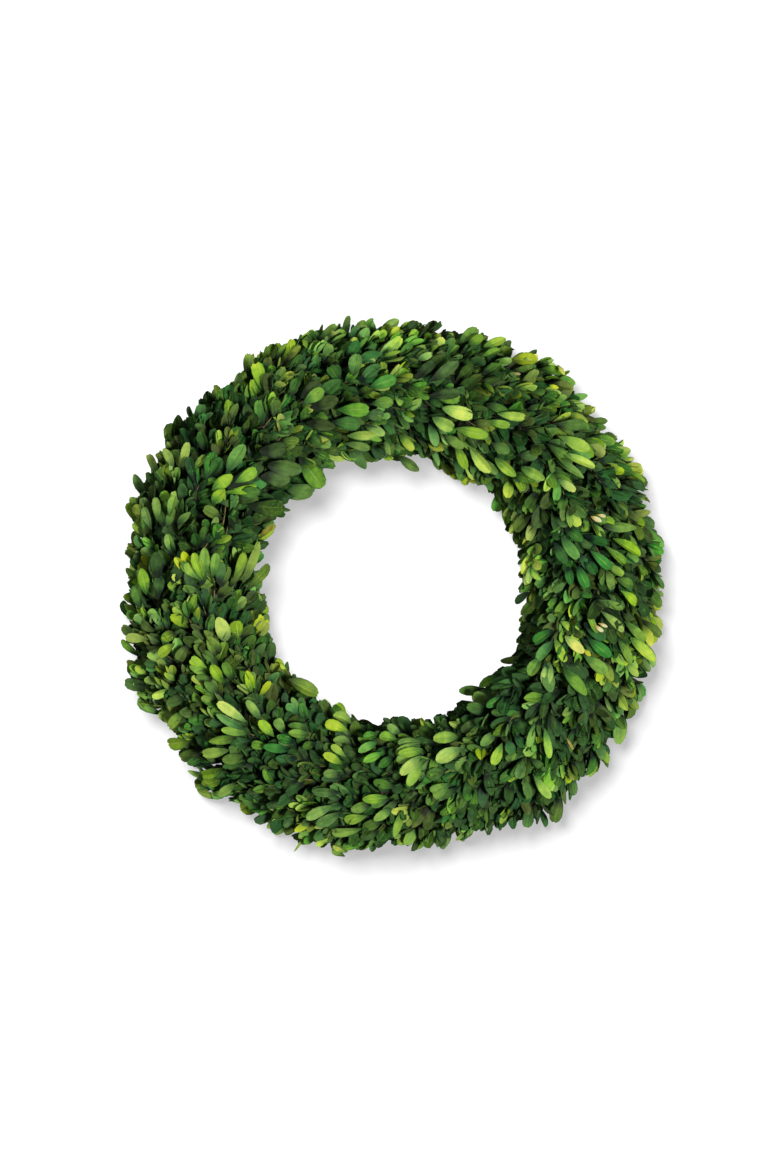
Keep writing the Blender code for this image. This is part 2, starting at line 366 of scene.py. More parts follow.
def alongTwig(sprigs, share):
    # Place, direction and upward direction at a share of the twig's length. The slope falls evenly:
    # the distance along the surface is the change of its sine, the height the change of its cosine,
    # each over the change of the slope.
    first, length = sprigs["riseRoot"][:, None], sprigs["length"][:, None]
    change = sprigs["riseTip"][:, None] - first
    slope = first + change * share
    distance = (np.sin(slope) - np.sin(first)) / change * length
    height = (np.cos(first) - np.cos(slope)) / change * length
    level, normal = sprigs["level"][:, None], sprigs["normal"][:, None]
    c, s = np.cos(slope)[..., None], np.sin(slope)[..., None]
    place = sprigs["root"][:, None] + level * distance[..., None] + normal * height[..., None]
    return place, level * c + normal * s, normal * c - level * s


def leavesOf(chance, sprigs):
    # Two leaves at each station, left and right of the twig, every second pair turned half a radian more
    stations = np.repeat(foliage["leafStations"], 2)
    many = (len(sprigs["root"]), len(stations))
    share = np.clip(stations + chance.uniform(*foliage["stationScatter"], many), 0.1, 1.0)
    place, direction, upward = alongTwig(sprigs, share)
    leaf = np.arange(len(stations))
    angle = np.where(leaf % 2 == 0, 0.3, np.pi - 0.1) + np.where(leaf // 2 % 2 == 1, 0.5, 0.0)
    angle = angle + chance.normal(0, foliage["turnScatter"], many)
    low, high = np.radians(foliage["leafSpread"])
    spread = low + (high - low) * share ** 1.3 + chance.normal(0, foliage["spreadScatter"], many)
    c, s = np.cos(spread)[..., None], np.sin(spread)[..., None]
    atFront, atSides = foliage["layerThickness"]
    upShare = atFront + (atSides - atFront) * np.abs(np.cos(sprigs["around"]))[:, None]
    aside, above = np.cos(angle)[..., None], (upShare * np.sin(angle))[..., None]
    outward = unit(sprigs["side"][:, None] * aside + upward * above)
    heading = direction * c + outward * s
    up, ahead, away = foliage["leafFacing"]
    facing = up * upward + ahead * front + chance.normal(0, foliage["facingScatter"], (*many, 3))
    facing = facing + away * (direction * s - outward * c)
    length = chance.uniform(*foliage["leafLength"], many) * sprigs["size"][:, None]
    large, less = foliage["leafShrink"]
    length = length * (large - less * share ** 2)
    lighter, after = foliage["tipTone"]
    tone = sprigs["tone"][:, None] + chance.normal(0, foliage["leafTone"], many) + lighter * (share - after)
    return {
        "base": place, "blade": heading, "facing": squareTo(heading, facing), "length": length,
        "width": length * chance.uniform(*foliage["leafWidth"], many),
        "tone": np.minimum(tone, foliage["lightest"]),
        "warmth": np.clip(sprigs["warmth"][:, None] + chance.normal(0, foliage["leafWarmth"], many), -1, 1),
    }


def settle(chance, sprigs, leaves):
    # Each sprig moves in or out until its furthest leaf tip is just inside the foliage's reach
    tips = leaves["base"] + leaves["blade"] * leaves["length"][..., None]
    along, around, out = aroundStraw(tips)
    beyond = (out - foliageReach(along, around)).max(axis=1) + chance.uniform(0, foliage["shortBy"], len(tips))
    low, high = np.array(cadBox)
    outside = np.maximum(tips - high, low - tips)[..., (0, 1)].max(axis=(1, 2)) + foliage["boxMargin"]
    move = -np.maximum(beyond, outside)[:, None] * sprigs["normal"]
    sprigs["root"] = sprigs["root"] + move
    leaves["base"] = leaves["base"] + move[:, None]


lowLeaves = {  # old leaves that fill the space between the stems and the sprigs' tips, dark partly from age and partly as painted shade of the depths
    "number": 270,
    "around": (-24, 228, 1.3),  # degrees: first, span, and the power that sets more on the outer side
    "out": (-0.1, 0.60),  # share of the space from the stems to the foliage's reach
    "sunk": 0.006,
    "yaw": (-1.2, 1.2),  # radians from clockwise
    "rise": (0.0, 0.9),
    "length": (0.011, 0.015),
    "width": 0.47,  # share of its length
    "tone": (0.11, 0.37),
    "patched": 0.6,  # how much of the patches they take on
}


def growLowLeaves(chance, bunch):
    # Leaves at random over the bunch, between the stems and the foliage's reach
    count, patched = lowLeaves["number"], lowLeaves["patched"]
    first, span, power = lowLeaves["around"]
    around = np.radians(first + span * chance.uniform(0, 1, count) ** power)
    turn = bunch + chance.uniform(-0.1, 0.9, count)
    clockwise, normal = directionsAt(turn, around)
    low, high = stemsReach(around), foliageReach(pitch * (turn + around / tau), around)
    out = low + (high - low) * chance.uniform(*lowLeaves["out"], count)
    level = turned(clockwise, normal, chance.uniform(*lowLeaves["yaw"], count))
    rise = chance.uniform(*lowLeaves["rise"], count)[:, None]
    heading = level * np.cos(rise) + normal * np.sin(rise)
    facing = normal + 0.8 * front + chance.normal(0, 0.3, (count, 3))
    length = chance.uniform(*lowLeaves["length"], count)
    base = placeOn(turn, around, out - lowLeaves["sunk"])
    lighter, warmer = patchwork(base + 0.5 * heading * length[:, None])
    return {
        "base": base, "blade": heading, "facing": squareTo(heading, facing),
        "length": length, "width": lowLeaves["width"] * length,
        "tone": chance.uniform(*lowLeaves["tone"], count) + patched * lighter,
        "warmth": chance.normal(0.0, 0.3, count) + patched * warmer,
    }


rimLeaves = {  # long leaves that stand out past the outer and the inner rim
    "number": (4, 2),
    "around": ((-8, 34), (150, 186)),  # degrees
    "outward": ((28, 58), (15, 45)),  # degrees from clockwise
    "length": (0.0135, 0.0175),
    "width": (0.36, 0.46),
    "past": (-0.0060, 0.0002),  # how far the tips pass the foliage's reach
    "tone": (0.45, 0.14),
    "warmth": (0.1, 0.3),
}


def growRimLeaves(chance, bunch):
    # Leaves whose tips are at the foliage's reach, turned from clockwise towards straight out
    lots = []
    for number, arounds, angles in zip(rimLeaves["number"], rimLeaves["around"], rimLeaves["outward"]):
        around = np.radians(chance.uniform(*arounds, number))
        turn = bunch + (np.arange(number) + chance.uniform(0, 0.9, number)) / number
        clockwise, normal = directionsAt(turn, around)
        angle = np.radians(chance.uniform(*angles, number))[:, None]
        heading = clockwise * np.cos(angle) + normal * np.sin(angle)
        length = chance.uniform(*rimLeaves["length"], number)
        reach = foliageReach(pitch * (turn + around / tau), around) + chance.uniform(*rimLeaves["past"], number)
        tip = placeOn(turn, around, reach)
        facing = 0.8 * front + 0.4 * normal + chance.normal(0, 0.25, (number, 3))
        lighter, warmer = patchwork(tip)
        lots.append({
            "base": tip - heading * length[:, None], "blade": heading, "facing": squareTo(heading, facing),
            "length": length, "width": length * chance.uniform(*rimLeaves["width"], number),
            "tone": chance.normal(*rimLeaves["tone"], number) + lighter,
            "warmth": chance.normal(*rimLeaves["warmth"], number) + warmer,
        })
    return together(lots)


# Single leaves that catch the eye

standouts = (  # base, tip and width in millimetres, tone, warmth
    (27, 98, 44, 93, 7.7, 0.92, 0.1), (57, 95, 73, 92, 5.6, 0.8, 0.1), (34, 87, 52, 82, 6.5, 0.66, 0.3),
    (42, 77, 54, 63, 6.9, 0.83, 0.3), (56, 71, 68, 61, 6, 0.71, 0.2), (70, 66, 83, 59, 6, 0.69, 0.1),
    (90, 83, 108, 75, 7.7, 0.71, 0.2), (93, 73, 111, 66, 5.2, 0.83, 0.1),
    (20, 112, 37, 122, 6.9, 0.35, 0.2), (50, 132, 62, 136, 6, 0.79, 0.1),
    (36, 134, 47, 142, 6.9, 0.55, 0), (-21, 115, -19, 128, 7.7, 0.55, -0.2),
    (-49, 100, -36, 108, 7.3, 0.61, 0), (-45, 98, -28, 103, 8.2, 0.24, 0.5),
    (-31, 97, -12, 97, 8.2, 0.61, -0.3), (-12, 100, 2, 102, 6.9, 0.57, 0),
    (-13, 109, 2, 114, 7.3, 0.57, -0.7), (-19, 122, -7, 131, 7.7, 0.45, -0.9),
    (-25, 83, -8, 84, 6, 0.79, 0.2), (-90, 63, -80, 78, 7.7, 0.61, -0.4),
    (-98, 53, -86, 62, 6.9, 0.75, 0), (-92, 52, -72, 54, 5.2, 0.71, 0.1),
    (-86, 57, -73, 64, 6.9, 0.69, 0), (-104, 4, -115, 14, 5.6, 0.71, 0.2),
    (-103, 4, -108, 19, 6, 0.75, 0.1), (-102, 5, -102, 23, 6, 0.67, 0),
    (-98, 5, -95, 19, 5.6, 0.61, -0.1), (-134, -4, -137, 11, 7.7, 0.67, 0),
    (-79, -73, -95, -62, 6, 0.87, 0.1), (-80, -77, -96, -69, 4.7, 0.61, -0.6),
    (-100, -44, -110, -38, 5.6, 0.75, 0.2), (-92, -52, -98, -42, 6, 0.73, 0.2),
    (-90, -29, -94, -16, 8.2, 0.84, 0.5), (-27, -96, -38, -90, 5.2, 0.85, 0.3),
    (-25, -146, -32, -139, 6, 0.9, 0.1), (-56, -88, -70, -86, 5.2, 0.5, -0.9),
    (94, -26, 105, -36, 5.6, 1, 0.3), (106, -27, 119, -38, 6.9, 0.51, -0.9),
    (103, -35, 117, -47, 7.3, 0.6, 0), (93, -43, 106, -59, 6.9, 0.6, 0),
    (88, -29, 78, -40, 6, 0.57, -0.7), (86, -40, 83, -53, 6.9, 0.73, 0),
    (113, -12, 127, -24, 4.7, 0.75, 0.2), (130, -27, 144, -40, 6.5, 0.83, 0.2),
    (124, -1, 137, -9, 6, 0.79, 0.2), (107, 21, 120, 11, 6, 0.53, -0.9),
    (101, 12, 106, 0, 6, 0.47, -0.9), (92, 28, 101, 16, 6, 0.57, -0.5),
    (120, 27, 137, 18, 6, 0.73, 0.2), (83, -76, 86, -93, 4.7, 0.73, -0.1),
    (77, -102, 86, -114, 5.6, 0.7, 0.1), (63, -82, 65, -91, 5.6, 0.45, -0.8),
    (60, -84, 55, -96, 6, 0.75, 0.1), (17, -88, 3, -91, 6, 0.71, 0.1), (16, -91, 4, -102, 6, 0.79, 0.2),
    (17, -93, 9, -107, 6, 0.75, 0.1), (73, 125, 80, 127, 3.5, 1, 0.4), (86, 111, 91, 109, 3, 0.98, 0.4),
    (91, 123, 95, 118, 2.6, 1, 0.5), (66, 118, 70, 116, 2.4, 0.8, 1.6),
    (108, 39, 114, 36, 2.6, 0.95, 1.9), (111, 40, 116, 39, 2, 0.8, 1.9),
    (110, -20, 115, -24, 2.4, 0.95, 1.9), (112, -19, 117, -21, 1.8, 0.85, 1.9),
    (104, -33, 108, -37, 2.6, 1, 0.8), (94, -80, 99, -88, 1.6, 0.55, 1.9),
    (-73, 27, -66, 36, 4, 0.5, 1.5), (-70, 30, -64, 35, 3, 0.58, 1.3), (-82, 3, -72, 26, 6, 0.7, 0.6),
    (-87, 4, -80, 19, 5, 0.62, 0.5), (-128, 36, -128, 50, 6, 0.68, 0.1),
    (-121, 38, -119, 50, 5, 0.62, 0.1), (-114, 66, -112, 80, 5.5, 0.76, 0.5),
    (-119, 66, -124, 76, 5, 0.66, 0.5), (-101, 58, -98, 75, 7, 0.44, -0.6),
    (-127, 5, -130, 20, 8, 0.26, 0.1), (-80, 45, -57, 43, 10.5, 0.3, 0.3),
    (-68, 67, -49, 65, 9, 0.4, 0.3), (-132, -28, -146, -27, 5.5, 0.76, 0.6),
    (-118, -30, -127, -37, 6, 0.72, 0.6), (-113, -66, -123, -77, 6, 0.66, 0.3),
    (-110, -84, -124, -86, 8, 0.6, 0.5), (-94, -105, -107, -110, 6.5, 0.7, 0.3),
    (-88, -88, -104, -91, 6.5, 0.66, 0.4), (-64, -81, -72, -72, 6, 0.72, 0.15),
    (-45, -80, -58, -79, 5, 0.62, 0.1), (-24, -78, -35, -72, 7, 0.86, 0.35),
    (-4, -89, -16, -95, 5, 0.7, -0.5), (-8, -84, -18, -88, 5, 0.66, -0.5),
    (3, -83, -7, -80, 6, 0.64, 0), (-2, -114, -16, -116, 5.5, 0.66, 0.1),
    (-13, -124, -26, -128, 6.5, 0.64, 0.3), (0, -120, -10, -127, 5.5, 0.62, 0.1),
    (-15, -131, -34, -136, 6, 0.66, 0.2), (6, -121, 1, -135, 5, 0.64, 0.2),
    (38, -87, 24, -94, 8, 0.76, 0.2), (46, -108, 44, -126, 5.5, 0.54, 0),
    (38, -114, 27, -126, 5, 0.44, 0.1), (32, -106, 22, -112, 8.5, 0.58, 0.1),
    (-30, -118, -48, -124, 7, 0.6, 0.1),
)

overhanging = (  # past the rims, where the heights of base and tip, the last two values, are given
    (-51, 72, -39, 57, 10.5, 0.54, 0.1, 46, 33), (-59, 56, -39, 49, 9.5, 0.48, 0.2, 46, 35),
    (-24, 79, -14, 64, 7, 0.44, 0, 42, 28), (-126, -55, -149, -53, 7.5, 0.42, 0.1, 30, 24),
    (-57, -50, -42, -60, 9, 0.56, 0.6, 44, 36), (76, -2, 68, -8, 5, 0.24, 0, 36, 25),
)

single = {
    "baseSunk": 0.0032,  # under the foliage's height
    "tipRaised": 0.0006,
    "tipFloor": 0.018,
    "steepest": 0.8,  # slope, past which the base comes down and the tip goes up
    "baseShare": 0.35,  # the base's share of that
    "duller": 0.09,
    "companions": ((0.82, 0.24, -15, 0.15), (-0.78, 0.36, 17, 0.22)),  # aside, back, degrees, duller (painted shade under the leaf)
    "companionWidth": 0.0046,  # only wider leaves have them
    "companionSunk": 0.0016,
    "companionLength": (0.74, 0.98),  # shares of the leaf's own
    "companionBreadth": (0.8, 1.05),
    "companionScatter": (0.10, 10, 0.07),  # back, degrees, tone
    "clearBeside": 0.0015,  # a leaf stays clear of other leaves this far past its rim
    "clearBetween": (-0.0012, 0.006),  # and from this far under it to this far over it
}


def heightAt(points):
    # The foliage's height over places in plan. The angle around the straw where its reach times the
    # cosine is a place's distance from the straw's middle line is found by halving.
    along = np.arctan2(points[:, 1], points[:, 0])
    outward = np.hypot(points[:, 0], points[:, 1]) - wreath["ringRadius"]
    low, high = 0 * along, 0 * along + np.pi
    for _ in range(20):
        middle = 0.5 * (low + high)
        further = foliageReach(along, middle) * np.cos(middle) > outward
        low, high = np.where(further, middle, low), np.where(further, high, middle)
    return wreath["strawHeight"] + foliageReach(along, low) * np.sin(low)


def crossing(leaves, kept):
    # Which leaves have their middle in a box round a kept leaf: along, aside and above it
    middle = (leaves["base"] + leaves["blade"] * (0.5 * leaves["length"])[..., None])[..., None, :]
    heading, facing, length = kept["blade"], kept["facing"], kept["length"]
    apart = middle - kept["base"] - heading * (0.5 * length)[:, None]
    along = np.abs(dot(apart, heading)) < 0.55 * length
    aside = np.abs(dot(apart, np.cross(heading, facing))) < 0.5 * kept["width"] + single["clearBeside"]
    above, (low, high) = dot(apart, facing), single["clearBetween"]
    return (along & aside & (above > low) & (above < high)).any(axis=-1)


def growStandouts():
    # Leaves between two given places, tips at the foliage's surface and bases under it, facing the
    # front and away from the ring's middle line. Each goes to the bunch that its base is in.
    table = np.array([leaf + (0, 0) for leaf in standouts] + list(overhanging), float)
    count, onTop = len(table), np.arange(len(table)) < len(standouts)
    base, tip, width = 0.001 * table[:, 0:2], 0.001 * table[:, 2:4], 0.001 * table[:, 4]
    low = np.where(onTop, heightAt(base) - single["baseSunk"], 0.001 * table[:, 7])
    high = np.maximum(heightAt(tip) + single["tipRaised"], single["tipFloor"])
    high = np.where(onTop, high, 0.001 * table[:, 8])
    excess = low - high - single["steepest"] * np.linalg.norm(tip - base, axis=1)
    excess = np.where(onTop, np.maximum(excess, 0), 0)
    base = np.column_stack((base, low - single["baseShare"] * excess))
    span = np.column_stack((tip, high + (1 - single["baseShare"]) * excess)) - base
    length = np.linalg.norm(span, axis=1)
    heading = span / length[:, None]
    outward = np.column_stack((unit(base[:, :2]), 0 * length))
    facing = front + outward * np.clip((np.hypot(*tip.T) - wreath["ringRadius"]) / 0.05, -0.8, 0.8)[:, None]
    facing = squareTo(heading, facing)
    bunch = np.floor(np.arctan2(base[:, 1], base[:, 0]) / pitch).astype(int) % wreath["bunches"]
    whole = {"bunch": bunch, "base": base, "blade": heading, "facing": facing, "length": length,
             "width": width, "tone": table[:, 5] - single["duller"], "warmth": table[:, 6]}
    # Its neighbours: shifted aside by widths and back by lengths, turned, a little under it, duller as painted
    # shade under it
    lots, side = [whole], np.cross(heading, facing)
    chance, (ofBack, ofAngle, ofTone) = np.random.default_rng(wreath["seed"]), single["companionScatter"]
    for aside, back, angle, duller in single["companions"]:
        back = back + chance.normal(0, ofBack, count)
        angle = np.radians(angle + chance.normal(0, ofAngle, count))
        shift = side * (aside * width)[:, None] - heading * (back * length)[:, None]
        shift = shift - single["companionSunk"] * facing
        beside = {**whole, "base": base + shift, "blade": turned(heading, facing, angle),
                  "length": length * chance.uniform(*single["companionLength"], count),
                  "width": width * chance.uniform(*single["companionBreadth"], count),
                  "tone": whole["tone"] - duller + chance.normal(0, ofTone, count)}
        stays = onTop & (width > single["companionWidth"]) & ~crossing(beside, whole)
        lots.append({key: values[stays] for key, values in beside.items()})
    return together(lots)


blade = {
    "stations": (0.02, 0.14, 0.32, 0.52, 0.72, 0.89, 0.985),  # shares of the leaf's length
    "columns": (-1.0, -0.52, 0.0, 0.52, 1.0),  # shares of its half-width
    "lowStations": (0.02, 0.34, 0.74, 0.97),  # the same for the low leaves
    "lowColumns": (-1.0, 0.0, 1.0),
    "taper": (0.55, 1.25),  # powers of the outline at the stalk
    "tipRound": (0.36, 0.72),  # and at the tip
    "notch": (-0.01, 0.035),
    "curl": (-0.75, 0.45),  # radians over the leaf's length
    "foldShares": (0.65, 0.85),  # up to here leaves are open, then bent back, and the rest are shut
    "folds": ((0.12, 0.45), (-0.30, 0.0), (0.5, 0.95)),
    "cup": (-0.25, 0.35),
    "swing": (-0.35, 0.35),
    "thickness": 0.00035,
    "boxGap": 0.0001,  # the least space to the frame's box
    "floorGap": 0.0006,  # a leaf nearer to the floor is left out
}


def bladeFaces(stations, columns):
    # Quads of the face, then of the back, which shares the rim and has its own inner points. Every
    # quad starts at its corner nearest to a corner of the leaf or opposite it, where it is split in two.
    rows, width = len(stations), len(columns)
    row, column = np.divmod(np.arange((rows - 1) * (width - 1)), width - 1)
    turnOver = (row < (rows - 1) / 2) != (column < (width - 1) / 2)
    face = np.arange(rows * width).reshape(rows, width)
    back = face.copy()
    back[1:-1, 1:-1] = rows * width + np.arange((rows - 2) * (width - 2)).reshape(rows - 2, width - 2)
    same, below = (quads(grid[:-1, :-1], grid[1:, :-1], grid[1:, 1:], grid[:-1, 1:]) for grid in (face, back))
    above = same[:, (0, 3, 2, 1)]
    for cells in (above, below, same):
        cells[turnOver] = np.roll(cells[turnOver], -1, axis=1)
    across, along = np.meshgrid(0.5 + 0.5 * np.array(columns), stations)
    spot = np.stack((across, along), axis=-1).reshape(-1, 2)
    return above, below, spot[above], spot[same]


def blades(chance, leaves, stations, columns):
    # A leaf is a grid of stations and columns. Its half-width is u^a (1 - u)^b, scaled to 1 at its
    # widest, its midrib an arc, and its halves rise from the midrib as fold + cup times the offset.
    count = len(leaves["length"])
    u, v = np.array(stations)[None, :, None], np.array(columns)[None, None, :]

    def drawn(low=0, high=1):
        return chance.uniform(low, high, count)[:, None, None]

    taper, tipRound = drawn(*blade["taper"]), drawn(*blade["tipRound"])
    widest = taper / (taper + tipRound)
    shape = u ** taper * (1 - u) ** tipRound / (widest ** taper * (1 - widest) ** tipRound)
    length, width = leaves["length"][:, None, None], leaves["width"][:, None, None]
    offset = 0.5 * width * shape * v
    notch = drawn(*blade["notch"]) * np.maximum(0, u - 0.9) / 0.085
    arc = (drawn(*blade["curl"]) + 0.001) / length
    reach = length * (u - notch * (1 - np.abs(v))) + 0 * v
    forward, lift = np.sin(arc * reach) / arc, (1 - np.cos(arc * reach)) / arc
    kind, (openUpTo, backUpTo) = drawn(), blade["foldShares"]
    opened, bentBack, shut = (drawn(*spread) for spread in blade["folds"])
    fold = np.where(kind < openUpTo, opened, np.where(kind < backUpTo, bentBack, shut))
    rise = np.abs(offset) * (fold + drawn(*blade["cup"]) * np.abs(v) * shape)
    swing = drawn(*blade["swing"]) * (u - 0.3)

    heading, facing = leaves["blade"][:, None, None], leaves["facing"][:, None, None]
    side, bent = np.cross(heading, facing), (arc * reach)[..., None]
    up = facing * np.cos(bent) - heading * np.sin(bent)
    points = leaves["base"][:, None, None] + heading * forward[..., None] + facing * lift[..., None]
    points = points + side * (offset * np.cos(swing))[..., None] + up * (rise + offset * np.sin(swing))[..., None]
    under = (points - up * blade["thickness"])[:, 1:-1, 1:-1]
    points = np.concatenate((points.reshape(count, -1, 3), under.reshape(count, -1, 3)), axis=1)

    low, high = np.array(cadBox)  # a leaf past the frame's box moves back into it
    above = np.maximum(points.max(axis=1) + blade["boxGap"] - high, 0)
    below = np.maximum(low + blade["boxGap"] - points.min(axis=1), 0) * (1, 1, 0)
    points = points + (below - above)[:, None]
    clear = points[:, :, 2].min(axis=1) > blade["floorGap"]
    points, tone, warmth = points[clear], leaves["tone"][clear], leaves["warmth"][clear]
    count, each = points.shape[:2]
    along, around, out = aroundStraw(points)
    # Points under the foliage's reach get darker by their depth: painted shade of the depths
    start, full = foliage["paintedShadeDepth"]
    deep = np.clip((foliageReach(along, around) - out - start) / (full - start), 0, 1)
    above, below, uvAbove, uvBelow = bladeFaces(stations, columns)
    return {
        "points": points.reshape(-1, 3),
        "faces": (np.concatenate((above, below)) + each * np.arange(count)[:, None, None]).reshape(-1, 4),
        "uv": np.tile(np.concatenate((uvAbove, uvBelow)), (count, 1, 1)),
        "material": np.tile(np.repeat((0, 1), (len(above), len(below))), count),
        "tone": np.maximum(tone[:, None] - foliage["paintedShadeBy"] * deep ** 1.3, foliage["darkest"]).ravel(),
        "warmth": np.repeat(warmth, each),
        "chance": np.repeat(chance.uniform(0, 1, count), each),
    }


def twigs(sprigs):
    # A rod up the middle of each sprig, a third as thick at its tip
    share = np.linspace(-0.3, 1.0, 5)[None, :] + 0 * sprigs["length"][:, None]
    place, _, upward = alongTwig(sprigs, share)
    radii = foliage["twigRadius"] * (1 - foliage["twigTaper"] * np.clip(share, 0, 1))
    rods = tubes(place, radii, -sprigs["side"][:, None] + 0 * place, upward)
    rods["points"][:, 2] = np.maximum(rods["points"][:, 2], foliage["twigFloor"])
    return {**rods, "material": 2}


def paintedShadeStems(bunch):
    # The imported stems, near black as painted shade of the depths: a band from one lower edge over
    # the front to the other, leaning clockwise as it rises, its reach rippled by the sum of two cosines,
    # with an inner wall just off the straw
    spots = 15
    turn = bunch + np.linspace(0.0, 1.0, 6)[:, None]
    around = np.radians(np.linspace(*stems["around"], spots))[None, :]
    ripple = sum(height * np.cos(across * around + along * turn) for height, across, along in stems["ripples"])
    reach = stemsReach(around) - stems["sunk"] + ripple + unevenness(pitch * turn, around)
    outer = placeOn(turn - leanAt(reach), around, reach)
    inner = placeOn(turn + 0 * around, around, wreath["strawRadius"] + 0.0005 + 0 * turn)
    points = np.concatenate((inner, outer[:, ::-1]), axis=1)
    index = np.arange(points[..., 0].size).reshape(points.shape[:2])
    after = np.roll(index, -1, axis=1)
    ends = []
    for row, order in ((index[0], (1, 0, 3, 2)), (index[-1], (0, 1, 2, 3))):
        low, high = row[:spots], row[spots:][::-1]
        ends.append(quads(low[:-1], low[1:], high[1:], high[:-1])[:, order])
    faces = np.concatenate([quads(index[:-1], after[:-1], after[1:], index[1:])] + ends)
    return {"points": points.reshape(-1, 3), "faces": faces, "uv": np.zeros((len(faces), 4, 2)), "material": 4}


def stemRods(chance, bunch):
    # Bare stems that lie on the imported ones: along the bunch, leaning with them, a little wavy
    count, share = stems["rods"], np.linspace(0, 1, 5)[None, :]

    def drawn(low=0, high=1):
        return chance.uniform(low, high, count)[:, None]

    start, (low, high), wander = drawn(*stems["rodStart"]), stems["around"], stems["rodWander"]
    around = np.radians(np.linspace(low + 4, high - 4, count)[:, None] + drawn(-3, 3))
    around = around + drawn(-wander, wander) * (share - 0.3)
    turn = bunch + start + stems["rodLength"] * share
    reach = stemsReach(around) - stems["rodSunk"] + stems["rodWave"] * np.cos(5 * share + tau * drawn())
    reach = reach + unevenness(pitch * turn, around)
    turn = turn - leanAt(reach)
    clockwise, normal = directionsAt(turn, around)
    radii = drawn(*stems["rodRadius"]) * (1 - 0.3 * share)
    return {**tubes(placeOn(turn, around, reach), radii, np.cross(clockwise, normal), normal), "material": 3}


# Straw ring and binding wire

straw = {
    "waist": 0.0128,  # the radius where a turn of the wire pulls it in
    "waistWidth": 0.13,  # share of a turn
    "coreSunk": 0.0008,
    "coreTone": 0.25,
    "strands": 520,
    "strandLength": (0.045, 0.080),
    "strandHalfWidth": (0.0008, 0.0014),
    "strandFlat": 0.35,
    "strandDrift": 0.22,  # radians around the straw
    "strandDepth": 0.0010,
    "floorGap": 0.0003,
}

wire = {
    "radius": 0.00045,
    "reach": 0.0132,  # from the middle of the straw
    "stepsPerTurn": 40,
    "sides": 8,
    "floorGap": 0.0001,
}


def waistAt(turn):
    # 1 where a turn of the wire pulls the straw in, falling off as a bell
    return np.exp(-(np.abs(turn - np.round(turn)) / straw["waistWidth"]) ** 2)


def strawReach(turn):
    # The straw's radius, less its waist at each whole turn
    return wreath["strawRadius"] - (wreath["strawRadius"] - straw["waist"]) * waistAt(turn)


def wrapped(points):
    # A grid of points that closes in both directions
    rows, columns = points.shape[:2]
    index = np.arange(rows * columns).reshape(rows, columns)
    right, above = np.roll(index, -1, axis=1), np.roll(index, -1, axis=0)
    return {"points": points.reshape(-1, 3), "faces": quads(index, right, np.roll(right, -1, axis=0), above),
            "uv": cellMap(*np.indices((rows, columns)), rows, columns), "material": 0}


def strawBody():
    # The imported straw: a tube with the waists, flattened a little where it lies on the floor
    along, around = (np.linspace(0, tau, count, endpoint=False) for count in (240, 24))
    along, around = np.meshgrid(along, around, indexing="ij")
    turn = along / pitch - around / tau
    points = placeOn(turn, around, strawReach(turn) - straw["coreSunk"])[:, ::-1]
    points[..., 2] = np.maximum(points[..., 2], 2 * straw["floorGap"])
    return {**wrapped(points), "tone": straw["coreTone"]}


def strawStrands(chance):
    # Flattened stalks that run along the ring with a slight drift around it, each its own colour
    count, share = straw["strands"], np.linspace(-0.5, 0.5, 7)[None, :]
    length = chance.uniform(*straw["strandLength"], count)[:, None]
    around = chance.uniform(0, tau, count)[:, None] + share * chance.normal(0, straw["strandDrift"], count)[:, None]
    along = chance.uniform(0, tau, count)[:, None] + share * length / wreath["ringRadius"]
    turn = along / pitch - around / tau
    path = placeOn(turn, around, strawReach(turn) - chance.uniform(0, straw["strandDepth"], count)[:, None])
    path[..., 2] = np.maximum(path[..., 2], straw["floorGap"] * (3 + 3 * waistAt(turn)))
    clockwise, normal = directionsAt(turn, around)
    radii = chance.uniform(*straw["strandHalfWidth"], count)[:, None] * (1 - 0.5 * np.abs(2 * share) ** 6)
    rods = tubes(path, radii, np.cross(clockwise, normal), normal, straw["strandFlat"])
    rods["points"][:, 2] = np.maximum(rods["points"][:, 2], straw["floorGap"])
    each = len(rods["points"]) // count
    return {**rods, "material": 0, "tone": np.repeat(chance.uniform(0.2, 1, count), each),
            "chance": np.repeat(chance.uniform(0, 1, count), each)}


def wireHelix():
    # One closed helix: a turn round the straw for each bunch
    around = tau * np.arange(wreath["bunches"] * wire["stepsPerTurn"]) / wire["stepsPerTurn"]
    path = placeOn(0 * around, around, wire["reach"] + 0 * around)
    path[:, 2] = np.maximum(path[:, 2], wire["radius"] + wire["floorGap"])
    ahead = unit(np.roll(path, -1, axis=0) - np.roll(path, 1, axis=0))
    aside = unit(np.cross(directionsAt(0 * around, around)[1], ahead))
    angle = tau * np.arange(wire["sides"]) / wire["sides"]
    ring = np.cos(angle)[:, None] * aside[:, None] + np.sin(angle)[:, None] * np.cross(ahead, aside)[:, None]
    return wrapped(path[:, None] + wire["radius"] * ring)


# Materials

def feed(tree, item, inputs):
    # Each of a node's inputs gets a number, a colour or another node's output
    for key, value in inputs.items():
        if isinstance(value, bpy.types.NodeSocket):
            tree.links.new(value, item.inputs[key])
        else:
            item.inputs[key].default_value = value


def node(tree, kind, inputs=None, **settings):
    item = tree.nodes.new("ShaderNode" + kind)
    for key, value in settings.items():
        setattr(item, key, value)
    feed(tree, item, inputs or {})
    return item.outputs


def maths(tree, operation, *values):
    return node(tree, "Math", dict(enumerate(values)), operation=operation)[0]


def plus(tree, first, second):
    return maths(tree, "ADD", first, second)


def times(tree, first, second):
    return maths(tree, "MULTIPLY", first, second)


def mixed(tree, factor, first, second):
    return node(tree, "Mix", {0: factor, 6: first, 7: second}, data_type="RGBA")[2]


def scaled(tree, colour, factor):
    return node(tree, "VectorMath", {0: colour, "Scale": factor}, operation="SCALE")[0]


def ranged(tree, value, newLow, newHigh, low=0.0, high=1.0):
    return node(tree, "MapRange", {0: value, 1: low, 2: high, 3: newLow, 4: newHigh})[0]


